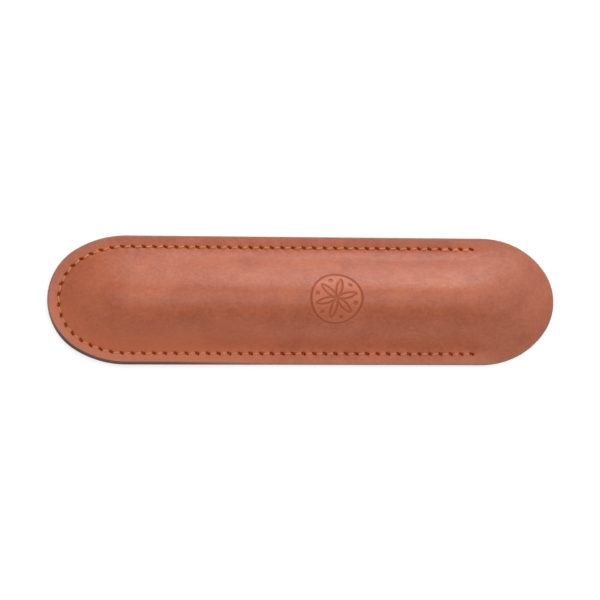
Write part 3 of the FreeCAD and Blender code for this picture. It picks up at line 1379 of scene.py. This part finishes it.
@dataclass(frozen=True)
class EdgeCoat:
    """Section of the edge coat, where it laps wider and where painted shade darkens it, in millimetres.

    Each profile holds insets with depths or heights. over_lap counts insets from the lap on the front's face,
    and depths below that face; over_edge counts its insets from the edge. round_joint has heights from the
    joint of the two layers. under_edge has heights from the lowest line, and under_lap the same, with insets
    from the lap below. inner_edge has depths into a lip's leather from its inner face.
    """

    lap: float = 0.34
    face_lap: float = 0.45
    near_side_lap: float = 0.33
    far_lap: float = 0.15
    tip_lap: float = 0.25
    stand: float = 0.03
    low: float = 0.12
    inner_depth: float = 0.1
    over_lap: Profile = ((0.2, 0.06), (0.08, -0.03), (0.0, -0.03))
    over_edge: Profile = ((0.16, -0.02), (0.04, 0.1), (0.0, 0.3))
    round_joint: Profile = ((0.0, 0.45), (0.07, 0.0), (0.0, -0.45))
    under_edge: Profile = ((0.0, 0.4), (0.04, 0.16), (0.14, 0.0))
    under_lap: Profile = ((0.0, 0.02), (0.08, 0.2))
    inner_edge: Profile = ((0.0, 0.3), (0.06, 0.06), (0.2, -0.02))
    # Where the painted shade and wider lap begin by the closed end, and how far they take to fade in
    near_side_x: float = -5.0
    near_side_fade: float = 45.0
    near_from: float = 0.1
    near_fade: float = 0.6

    def top(self, edge_round: float) -> Profile:
        """Section over the front's rim.

        Args:
            edge_round: How far in the rim is rounded.

        Returns:
            Insets from the edge, and depths below the face.
        """
        lapped = tuple((self.face_lap + inset, down) for inset, down in self.over_lap)
        return lapped + ((edge_round, -self.stand),) + self.over_edge

    def foot(self) -> Profile:
        """Section under the back's rim.

        Returns:
            Insets from the edge, and heights.
        """
        lapped = tuple((self.lap + inset, up) for inset, up in self.under_lap)
        return tuple((inset, self.low + up) for inset, up in self.under_edge + lapped)

    def inner(self) -> Profile:
        """Section round a lip's inner rim, as insets from the edge and depths into the leather."""
        return self.inner_edge + ((self.lap, self.inner_depth),)

    def shaded_near_side(self, points: np.ndarray, out: np.ndarray) -> np.ndarray:
        """Painted shade on the coat's near side by the closed end, where the coat also laps wider.

        Args:
            points: Points of the edge.
            out: The way out at each.

        Returns:
            From 0 to 1 where the painted shade is darkest.
        """
        by_closed = smooth_step((self.near_side_x - points[:, 0]) / self.near_side_fade)
        return by_closed * smooth_step((-out[:, 1] - self.near_from) / self.near_fade)

    def wide(self, points: np.ndarray, out: np.ndarray) -> np.ndarray:
        """How much further the coat laps over the face.

        Args:
            points: Points of the edge.
            out: The way out at each.

        Returns:
            Distances to add to the lap.
        """
        tip = smooth_step(out[:, 0]) * (1.0 + out[:, 1]) / 2.0
        far = smooth_step(out[:, 1])
        return self.near_side_lap * self.shaded_near_side(points, out) + self.far_lap * far + self.tip_lap * tip


@dataclass(frozen=True)
class Stitch:
    """One stitch of the thread, and the first ones that are sewn twice, in millimetres.

    The front's lift is a share of the thread's radius.
    """

    diameter: float = 0.52
    length: float = 1.98
    crown: float = 0.05
    dive: float = 0.7
    slant_deg: float = 9.0
    twist: float = 7.0
    seed: int = 7
    front_lift: float = 0.15
    back_clear: float = 0.11
    twice_count: int = 3
    twice_offset: float = 0.32


@dataclass
class PenCase:
    """The whole case: two leather sheets, their coated edges and the seam, in millimetres."""

    outline: Outline
    ridge: Ridge
    seam: Seam
    rosette: Rosette
    leather: float
    front_bottom: float
    flange_top: float
    hand_work: HandWork = HandWork()
    marks_and_painted_light: MarksAndPaintedLight = MarksAndPaintedLight()
    rows: FaceRows = FaceRows()
    coat: EdgeCoat = EdgeCoat()
    stitch: Stitch = Stitch()
    flex_length: float = 15.0
    edge_round: float = 0.4
    groove_depth: float = 0.1
    groove_width: float = 0.75
    groove_sharpness: float = 2.0
    groove_fade: float = 2.0
    pucker_depth: float = 0.14
    pucker_radius: float = 1.5
    pucker_sharpness: float = 3.0
    dish_depth: float = 0.36
    dish_start: float = 0.5
    dish_end: float = 11.0
    dish_reach: float = 10.0
    closed_dish: float = 0.6
    back_groove_depth: float = 0.7
    back_hole_share: float = 0.4
    slope_step: float = 0.1

    def _edge_fall(self, x: np.ndarray, y: np.ndarray) -> np.ndarray:
        """How far a face has rounded off towards the cut edge."""
        inside = np.clip(self.outline.inset_at(x, y), 0.0, self.edge_round)
        return self.edge_round - np.sqrt(self.edge_round ** 2 - (self.edge_round - inside) ** 2)

    def _groove(self, x: np.ndarray, y: np.ndarray) -> np.ndarray:
        """How much of the stitch groove's depth each point has.

        Args:
            x: Places along the case.
            y: Places across the case.

        Returns:
            From 0 beside the groove to 1 on the stitch line.
        """
        off = (self.outline.inset_at(x, y) - self.seam.inset) / self.groove_width
        fade = smooth_step((self.seam.end_x + self.groove_fade - x) / self.groove_fade)
        return np.exp(-off ** 2 * self.groove_sharpness) * fade

    def _pucker(self, x: np.ndarray, y: np.ndarray) -> np.ndarray:
        """How far each stitch hole has drawn the leather down round it, from 0 to 1."""
        gap = np.maximum(0.0, self.seam.slot_distance(x, y)) / self.pucker_radius
        return np.exp(-gap ** 2 * self.pucker_sharpness)

    def _dish(self, x: np.ndarray, y: np.ndarray) -> np.ndarray:
        """How far the tight seam has drawn the rim down.

        Args:
            x: Places along the case.
            y: Places across the case.

        Returns:
            1 on the stitch line, more by the closed end, and less away from the line and towards the mouth.
        """
        inside = self.outline.inset_at(x, y)
        outer = smooth_step((inside - self.dish_start) / (self.seam.inset - self.dish_start))
        inner = smooth_step((self.dish_end - inside) / (self.dish_end - self.seam.inset))
        deeper = 1.0 + self.closed_dish * self.ridge.toward_closed(x)
        toward_mouth = smooth_step((self.seam.end_x + self.dish_reach - x) / (2.0 * self.dish_reach))
        return deeper * outer * inner * toward_mouth

    def front_plain(self, x: np.ndarray, y: np.ndarray) -> np.ndarray:
        """Front face without holes, groove and stamp.

        Args:
            x: Places along the case.
            y: Places across the case.

        Returns:
            Heights of the face.
        """
        moulded = self.ridge.height(x, y)
        uneven = self.hand_work.lift(x, y, moulded)
        return self.flange_top + moulded + uneven - self.dish_depth * self._dish(x, y)

    def front_face(self, x: np.ndarray, y: np.ndarray) -> np.ndarray:
        """Front face as it is seen.

        Args:
            x: Places along the case.
            y: Places across the case.

        Returns:
            Heights of the face.
        """
        cut = self.groove_depth * self._groove(x, y) + self.seam.hole_depth * self.seam.depth_share(x, y)
        stamp = self.rosette.depth * self.rosette.lines(x, y)
        pucker = self.pucker_depth * self._pucker(x, y)
        return self.front_plain(x, y) - cut - pucker - stamp - self._edge_fall(x, y)

    def front_inside(self, x: np.ndarray, y: np.ndarray) -> np.ndarray:
        """Inner face of the front, one leather thickness inside.

        Args:
            x: Places along the case.
            y: Places across the case.

        Returns:
            Heights of the face.
        """
        step = self.slope_step
        slope_x = (self.ridge.height(x + step, y) - self.ridge.height(x - step, y)) / (2 * step)
        slope_y = (self.ridge.height(x, y + step) - self.ridge.height(x, y - step)) / (2 * step)
        depth = self.leather * np.sqrt(1.0 + slope_x ** 2 + slope_y ** 2)
        dished = self.flange_top + self.ridge.height(x, y) - self.dish_depth * self._dish(x, y)
        return np.maximum(self.front_bottom, dished - depth)

    def back_face(self, x: np.ndarray, y: np.ndarray) -> np.ndarray:
        """Back face as it is seen from below.

        Args:
            x: Places along the case.
            y: Places across the case.

        Returns:
            Heights of the face.
        """
        groove = self.back_groove_depth * self._groove(x, y)
        holes = self.seam.hole_depth * self.back_hole_share * self.seam.depth_share(x, y)
        return groove + holes + self._edge_fall(x, y)

    def back_inside(self, x: np.ndarray, y: np.ndarray) -> np.ndarray:
        """Flat inner face of the back, alike at every place."""
        return np.full_like(x, self.leather)

    def _fine_points(self, stamp: bool) -> np.ndarray:
        """Points of a detailed face: close together at the edge, along the seam and on the stamp.

        Args:
            stamp: Whether the face has the stamp.

        Returns:
            The points.
        """
        rows = self.rows
        edge_rows = [self.outline.loop(inset, rows.edge_step) for inset in rows.edge_insets]
        mouth_rows = [self.outline.lip_path(inset, rows.open_step) for inset in rows.mouth_insets]
        seam_rows = self.seam.row_points(rows.seam_offsets, rows.seam_step, rows.seam_clear)
        grid = self.outline.grid(rows.open_step, self.seam.inset + rows.seam_band)
        parts = edge_rows + mouth_rows + [seam_rows, self.seam.slot_points()]
        if stamp:
            away = np.hypot(grid[:, 0] - self.rosette.x, grid[:, 1] - self.rosette.y)
            grid = grid[away > self.rosette.ring_radius + rows.stamp_margin + rows.stamp_clear]
            parts.append(self.rosette.points(rows.stamp_step, rows.stamp_margin))
        return np.concatenate(parts + [grid])

    def _paint(self, stamp: bool) -> dict[str, HeightMap]:
        """What is painted on a grain side.

        Args:
            stamp: Whether the side has the stamp.

        Returns:
            Paint layers for the holes, the pressed lines, painted light, and painted shade with gloss at the
            mouth.
        """

        def pressed(x: np.ndarray, y: np.ndarray) -> np.ndarray:
            """Stamp lines and the clamped rim, from 0 to 1."""
            clamped = self.marks_and_painted_light.clamped(self.outline.inset_at(x, y), self.seam.inset)
            return np.maximum(self.rosette.lines(x, y), clamped) if stamp else clamped

        def marked(x: np.ndarray, y: np.ndarray) -> np.ndarray:
            """Painted light on the near rim by the closed end, and painted highlight inside the stamp's ring,
            from 0 to 1.
            """
            painted_light = self.marks_and_painted_light.painted_light(x, y, self.outline.inset_at(x, y))
            return np.maximum(painted_light, self.rosette.field(x, y)) if stamp else painted_light

        return {"awl": self.seam.depth_share, "press": pressed, "marks_and_painted_light": marked, "mouth_shade_and_gloss": self.marks_and_painted_light.mouth_shade_and_gloss}

    def build_leather(self, grain: bpy.types.Material, flesh: bpy.types.Material) -> None:
        """Make both leather sheets.

        Args:
            grain: Finish of the smooth sides.
            flesh: Finish of the rough sides.
        """
        front = LeatherSheet("front_leather", self.outline, Grain.UP, self.front_face, self.front_inside,
                             self._fine_points(True), self._paint(True)).build(grain, flesh)
        back = LeatherSheet("back_leather", self.outline, Grain.DOWN, self.back_face, self.back_inside,
                            self._fine_points(False), self._paint(False)).build(grain, flesh)
        self._flex(front, "front_mouth")
        self._flex(back, "back_mouth")
        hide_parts("front_panel", "front_lip")
        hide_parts("back_panel", "back_lip")
        for piece in (front, back):
            LOG.info("%s: %d faces", piece.name, len(piece.data.polygons))

    def _flex(self, piece: bpy.types.Object, body: str) -> None:
        """Bake a piece's placement into its mesh.

        Args:
            piece: The piece.
            body: Not used.
        """
        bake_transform(piece)

    def build_edges(self, finish: bpy.types.Material) -> None:
        """Coat the cut edges: one band over both layers of the seam, and one on each lip.

        Args:
            finish: Finish of the coat.
        """

        def level(z: float) -> HeightMap:
            """Same height everywhere."""
            return lambda x, y: np.full_like(x, z)

        def front_rim(down: float) -> HeightMap:
            """A little below the front face at the edge."""
            return lambda x, y: self.front_plain(x, y) - self._edge_fall(x, y) - down

        def front_under(up: float) -> HeightMap:
            """A little above the underside of the front at the edge."""
            return lambda x, y: self.front_inside(x, y) + up

        joint = (self.leather + self.front_bottom) / 2
        top = [(inset, front_rim(down)) for inset, down in self.coat.top(self.edge_round)]
        middle = [(inset, level(joint + up)) for inset, up in self.coat.round_joint]
        foot = [(inset, level(up)) for inset, up in self.coat.foot()]
        front_foot = [(inset, front_under(deep)) for inset, deep in self.coat.inner()]
        back_top = [(inset, level(self.leather - deep)) for inset, deep in reversed(self.coat.inner())]
        bands = (
            ("seam_edge", self.outline.sewn_path, top + middle + foot, None, "seam_edge_coat"),
            ("front_lip_edge", self.outline.lip_path, top + front_foot, "front_mouth", "front_lip_edge_coat"),
            ("back_lip_edge", self.outline.lip_path, back_top + foot, "back_mouth", "back_lip_edge_coat"),
        )
        for name, path, section, body, node in bands:
            band = EdgeBand(name, path, section[::-1], self.coat.wide, self.coat.shaded_near_side).build(finish)
            if body is None:
                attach(band, "pocket")
            else:
                self._flex(band, body)
            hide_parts(node)
            LOG.info("%s: %d faces", name, len(band.data.polygons))

    def build_seam(self, finish: bpy.types.Material) -> None:
        """Sew the front and the back, with the first stitches sewn twice on the front.

        Args:
            finish: Finish of the thread.
        """
        stitch = self.stitch
        holes, travel, _ = self.seam.holes()
        middles = (holes[:-1] + holes[1:]) / 2.0
        across = np.column_stack([-travel[:, 1], travel[:, 0]])[:-1]
        twice = middles[:stitch.twice_count] + across[:stitch.twice_count] * stitch.twice_offset
        radius = stitch.diameter / 2.0
        front_lift = -self.groove_depth + radius * stitch.front_lift
        back_lift = radius * (1.0 + StitchTree.PLY_SWELL) + stitch.back_clear
        front_runs = [
            np.column_stack([flat, self.front_plain(flat[:, 0], flat[:, 1]) + front_lift]) * MM
            for flat in (middles, twice)
        ]
        back_runs = [np.column_stack([middles, np.full(len(middles), back_lift)]) * MM]
        sides = (
            ("needle_stitches", front_runs, 1.0, "needle_thread"),
            ("bobbin_stitches", back_runs, -1.0, "bobbin_thread"),
        )
        tree = StitchTree()
        for name, runs, outward, node in sides:
            thread = tree.lay(name, runs, Thread_Diameter=stitch.diameter * MM,
                              Stitch_Length=stitch.length * MM, Crown=stitch.crown * MM,
                              Dive=stitch.dive * MM, Slant=math.radians(stitch.slant_deg),
                              Twist=stitch.twist, Outward=outward, Seed=stitch.seed, Finish=finish)
            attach(thread, "pocket")
            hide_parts(node)
            LOG.info("%s: %d faces", name, len(thread.data.polygons))

    def dress_cement(self, finish: bpy.types.Material) -> None:
        """Give the cement film its finish.

        Args:
            finish: Finish of the cement.
        """
        film = frame["nodes"]["seam_cement"]
        film.data.materials.clear()
        film.data.materials.append(finish)
        LOG.info("%s: %d faces", "seam_cement", len(film.data.polygons))


@dataclass(frozen=True)
class Lamp:
    """One rectangular lamp that faces the case, in metres and watts."""

    name: str
    place: tuple[float, float, float]
    size: tuple[float, float]
    power: float
    aim: tuple[float, float, float] = (0.0, 0.0, 0.005)

    def hang(self) -> None:
        """Put the lamp in the scene."""
        lamp = bpy.data.lights.new(self.name, "AREA")
        lamp.shape = "RECTANGLE"
        lamp.size = self.size[0]
        lamp.size_y = self.size[1]
        lamp.energy = self.power
        holder = bpy.data.objects.new(self.name, lamp)
        bpy.context.scene.collection.objects.link(holder)
        way = Vector(self.aim) - Vector(self.place)
        turned = way.to_track_quat("-Z", "Y").to_matrix().to_4x4()
        holder.matrix_world = Matrix.Translation(self.place) @ turned


@dataclass(frozen=True)
class Studio:
    """White floor, three soft lamps and a camera that looks almost straight down, in metres."""

    camera_distance: float = 0.6
    tilt_x_deg: float = -6.0
    tilt_y_deg: float = -4.0
    roll_deg: float = -0.09
    metres_per_pixel: float = 0.0003263
    aim_px: tuple[float, float] = (302.5, 301.3)
    sensor_mm: float = 36.0
    clip_start: float = 0.01
    floor_size: float = 3.0
    floor_z: float = -0.0002
    floor_grey: float = 0.8
    floor_roughness: float = 0.9
    floor_glow: float = 0.5
    surroundings: float = 0.29
    lamps: tuple[Lamp, ...] = (
        Lamp("far_softbox", (0.176, 0.723, 0.118), (0.36, 0.235), 1.75),
        Lamp("high_softbox", (0.0, 0.036, 0.819), (1.39, 1.39), 6.3),
        Lamp("side_panel", (0.677, 0.303, 0.348), (0.464, 0.464), 0.5),
    )

    def _floor_finish(self) -> bpy.types.Material:
        """Plain white that glows only where it is seen, not where it would light the case.

        Returns:
            The floor's material.
        """
        material = bpy.data.materials.new("white_floor")
        material.use_nodes = True
        nodes = material.node_tree.nodes
        links = material.node_tree.links
        shader = nodes["Principled BSDF"]
        shader.inputs["Base Color"].default_value = (self.floor_grey, self.floor_grey, self.floor_grey, 1.0)
        shader.inputs["Roughness"].default_value = self.floor_roughness
        shader.inputs["Emission Color"].default_value = (1.0, 1.0, 1.0, 1.0)
        rays = nodes.new("ShaderNodeLightPath")
        seen = rays.outputs["Is Camera Ray"]
        for ray in ("Is Glossy Ray", "Is Transmission Ray"):
            either = nodes.new("ShaderNodeMath")
            either.operation = "MAXIMUM"
            links.new(seen, either.inputs[0])
            links.new(rays.outputs[ray], either.inputs[1])
            seen = either.outputs[0]
        glow = nodes.new("ShaderNodeMath")
        glow.operation = "MULTIPLY"
        glow.inputs[1].default_value = self.floor_glow
        links.new(seen, glow.inputs[0])
        links.new(glow.outputs[0], shader.inputs["Emission Strength"])
        return material

    def build_floor(self) -> None:
        """Lay a plain white floor."""
        half = self.floor_size / 2
        mesh = bpy.data.meshes.new("studio_floor")
        corners = [(x * half, y * half, self.floor_z) for x, y in ((-1, -1), (1, -1), (1, 1), (-1, 1))]
        mesh.from_pydata(corners, [], [(0, 1, 2, 3)])
        mesh.materials.append(self._floor_finish())
        new_object("studio_floor", mesh)

    def build_light(self) -> None:
        """Even white surroundings, and soft lamps on the far side, above and beside the mouth."""
        world = bpy.data.worlds.new("studio_surroundings")
        bpy.context.scene.world = world
        world.use_nodes = True
        background = world.node_tree.nodes["Background"]
        background.inputs["Color"].default_value = (1.0, 1.0, 1.0, 1.0)
        background.inputs["Strength"].default_value = self.surroundings
        for lamp in self.lamps:
            lamp.hang()

    def build_camera(self) -> None:
        """Set the camera at the photograph's angle."""
        tilts = (self.tilt_x_deg, self.tilt_y_deg)
        toward = Vector([math.sin(math.radians(tilt)) for tilt in tilts] + [0.0])
        toward.z = math.sqrt(1.0 - toward.length_squared)
        forward = -toward
        right = forward.cross(Vector((0.0, 1.0, 0.0))).normalized()
        up = right.cross(forward)
        turn = math.radians(self.roll_deg)
        right, up = right * math.cos(turn) + up * math.sin(turn), up * math.cos(turn) - right * math.sin(turn)
        data = bpy.data.cameras.new("photo_camera")
        focal_px = self.camera_distance / self.metres_per_pixel
        data.sensor_width = self.sensor_mm
        data.lens = data.sensor_width * focal_px / IMAGE_WIDTH_PX
        data.clip_start = self.clip_start
        shift = [(self.aim_px[i] - IMAGE_WIDTH_PX / 2) * self.metres_per_pixel for i in range(2)]
        place = toward * self.camera_distance - right * shift[0] + up * shift[1]
        holder = bpy.data.objects.new("photo_camera", data)
        bpy.context.scene.collection.objects.link(holder)
        turned = Matrix((right, up, toward)).transposed().to_4x4()
        holder.matrix_world = Matrix.Translation(place) @ turned
        bpy.context.scene.camera = holder


def make_case() -> PenCase:
    """Take the sizes from the frame and give the case to build.

    Returns:
        The case with all its shapes set.
    """
    low, high = (Vector(corner) / MM for corner in CAD_BOX)
    flat_top = (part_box("seam_edge_coat")[1] / MM).z
    back_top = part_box("back_panel")[1].z / MM
    front_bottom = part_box("front_panel")[0].z / MM
    hinge_x = frame["joints"][0]["pos_m"][0] / MM
    seam_end_x = hinge_x - SEAM_BEFORE_HINGE
    outline = Outline(high.x - low.x, high.y - low.y, hinge_x)
    seam = Seam(outline, seam_end_x - HOLE_BEFORE_SEAM_END)
    ridge = Ridge(outline, seam.inset + FOOT_INSIDE_SEAM, seam_end_x, high.z - flat_top)
    return PenCase(outline, ridge, seam, Rosette(), back_top, front_bottom, flat_top)


def main() -> None:
    """Build the case and the studio around it."""
    logging.basicConfig(level=logging.INFO, format="%(name)s: %(message)s")
    bpy.context.scene.view_settings.view_transform = "Standard"
    case = make_case()
    case.build_leather(GrainFinish().material(), FleshFinish().material())
    case.build_edges(EdgeFinish().material())
    case.build_seam(ThreadFinish().material())
    case.dress_cement(CementFinish().material())
    studio = Studio()
    studio.build_floor()
    studio.build_light()
    studio.build_camera()


if __name__ == "__main__":
    main()
